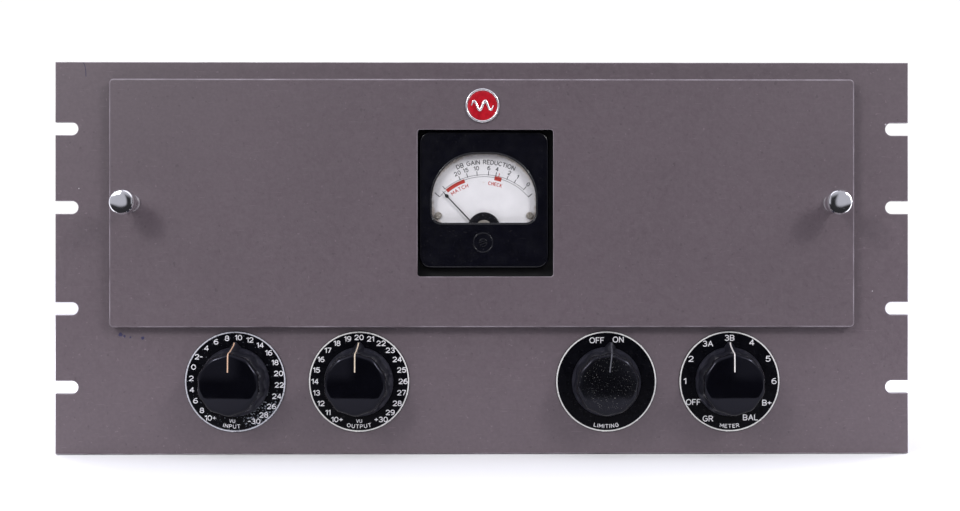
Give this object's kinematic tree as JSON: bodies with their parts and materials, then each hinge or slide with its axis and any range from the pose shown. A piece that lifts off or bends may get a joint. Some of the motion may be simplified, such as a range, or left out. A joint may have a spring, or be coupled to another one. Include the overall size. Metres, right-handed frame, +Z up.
{
  "type": "rack compressor",
  "caption": "Rack-mounted valve limiting amplifier with a lift-off front cover, a meter behind a cut-out, pointer knobs on dial plates, and valves and transformers on its rear deck.",
  "frame": {"origin": "middle of the panel's bottom edge, in the plane of the panel's rear face, which is the rack's mounting plane", "axes": "+X right seen from the front, +Y to the rear, +Z up; the front looks along -Y"},
  "size_m": [0.4826, 0.2221, 0.2215],
  "materials": {
    "panel_paint": "semi-gloss stoved enamel with fine orange peel",
    "chrome": "polished chrome plate",
    "red_enamel": "glossy vitreous enamel",
    "steel": "zinc plated",
    "chassis_plate": "cadmium plated sheet",
    "dial_black": "satin black with white markings",
    "bakelite": "polished black bakelite",
    "brass": "turned brass",
    "aluminium": "drawn can",
    "scale_card": "printed card, warm white",
    "clear": "clear",
    "needle_black": "matt black",
    "phenolic": "paper phenolic",
    "resistor": "moulded",
    "harness": "waxed lacing over cloth-covered wire",
    "core_black": "black wrinkle enamel",
    "can_grey": "grey hammer enamel",
    "mu_metal": "annealed shield can",
    "tube_black": "black enamelled metal envelope",
    "tube_glass": "clear bulb on a black base"
  },
  "bodies": {
    "frame": {"front_panel": "panel_paint", "thumbscrew_inserts": "steel", "input_dial_plate": "dial_black", "output_dial_plate": "dial_black", "limiting_dial_plate": "dial_black", "selector_dial_plate": "dial_black", "bushing_nuts": "chrome", "input_attenuator": "aluminium", "output_attenuator": "aluminium", "limiting_switch": "phenolic", "selector_switch": "phenolic", "meter_case": "bakelite", "meter_window": "clear", "meter_scale": "scale_card", "meter_scale_screws": "brass", "meter_hub_cover": "bakelite", "meter_movement": "steel", "meter_bracket": "core_black", "meter_nuts": "brass", "chassis": "chassis_plate", "side_bracket_left": "panel_paint", "side_bracket_right": "panel_paint", "bracket_screws": "steel", "chassis_nuts": "steel", "component_boards": "phenolic", "board_components": "resistor", "balance_controls": "steel", "wiring_harness": "harness", "power_transformer": "core_black", "filter_choke": "core_black", "output_transformer": "can_grey", "interstage_transformer": "can_grey", "input_transformer": "mu_metal", "filter_capacitors": "aluminium", "tube_sockets": "phenolic", "amplifier_tubes": "tube_black", "output_tubes": "tube_black", "rectifier_tube": "tube_glass", "regulator_tubes": "tube_glass", "terminal_blocks": "bakelite", "fuse_holder": "bakelite"},
    "cover": {"front_cover": "panel_paint", "badge_bezel": "chrome", "badge_enamel": "red_enamel"},
    "thumb_left": {"thumbscrew_left": "chrome", "retaining_ring_left": "steel"},
    "thumb_right": {"thumbscrew_right": "chrome", "retaining_ring_right": "steel"},
    "input_control": {"input_knob": "bakelite", "input_shaft": "brass"},
    "output_control": {"output_knob": "bakelite", "output_shaft": "brass"},
    "limiting_control": {"limiting_knob": "bakelite", "limiting_shaft": "brass"},
    "selector_control": {"selector_knob": "bakelite", "selector_shaft": "brass"},
    "needle": {"meter_needle": "needle_black"},
    "zero_adjuster": {"meter_zero_screw": "bakelite"},
    "balance_left": {"balance_shaft_left": "brass"},
    "balance_right": {"balance_shaft_right": "brass"}
  },
  "joints": [
    {"name": "cover_pull", "type": "slide", "parent": "frame", "child": "cover", "axis": [0, -1, 0], "range_m": [0, 0.12]},
    {"name": "thumb_left_turn", "type": "hinge", "parent": "cover", "child": "thumb_left", "pos_m": [-0.19685, -0.02, 0.14165], "axis": [0, 1, 0], "continuous": true},
    {"name": "thumb_right_turn", "type": "hinge", "parent": "cover", "child": "thumb_right", "pos_m": [0.19685, -0.02, 0.14165], "axis": [0, 1, 0], "continuous": true},
    {"name": "input_turn", "type": "hinge", "parent": "frame", "child": "input_control", "pos_m": [-0.1397, 0, 0.0409], "axis": [0, 1, 0], "range_deg": [-150, 150]},
    {"name": "output_turn", "type": "hinge", "parent": "frame", "child": "output_control", "pos_m": [-0.06985, 0, 0.0409], "axis": [0, 1, 0], "range_deg": [-150, 150]},
    {"name": "limiting_turn", "type": "hinge", "parent": "frame", "child": "limiting_control", "pos_m": [0.06985, 0, 0.0409], "axis": [0, 1, 0], "range_deg": [-30, 0]},
    {"name": "selector_turn", "type": "hinge", "parent": "frame", "child": "selector_control", "pos_m": [0.1397, 0, 0.0409], "axis": [0, 1, 0], "range_deg": [-150, 150]},
    {"name": "needle_swing", "type": "hinge", "parent": "frame", "child": "needle", "pos_m": [0.00065, 0, 0.1235], "axis": [0, 1, 0], "range_deg": [-2.5, 92], "stiffness_Nm_per_rad": 0.0002},
    {"name": "zero_adjust", "type": "hinge", "parent": "frame", "child": "zero_adjuster", "pos_m": [0.0002, 0, 0.1195], "axis": [0, 1, 0], "continuous": true},
    {"name": "balance_left_turn", "type": "hinge", "parent": "frame", "child": "balance_left", "pos_m": [-0.04935, 0, 0.1437], "axis": [0, 1, 0], "range_deg": [-150, 150]},
    {"name": "balance_right_turn", "type": "hinge", "parent": "frame", "child": "balance_right", "pos_m": [0.05065, 0, 0.1437], "axis": [0, 1, 0], "range_deg": [-150, 150]}
  ]
}
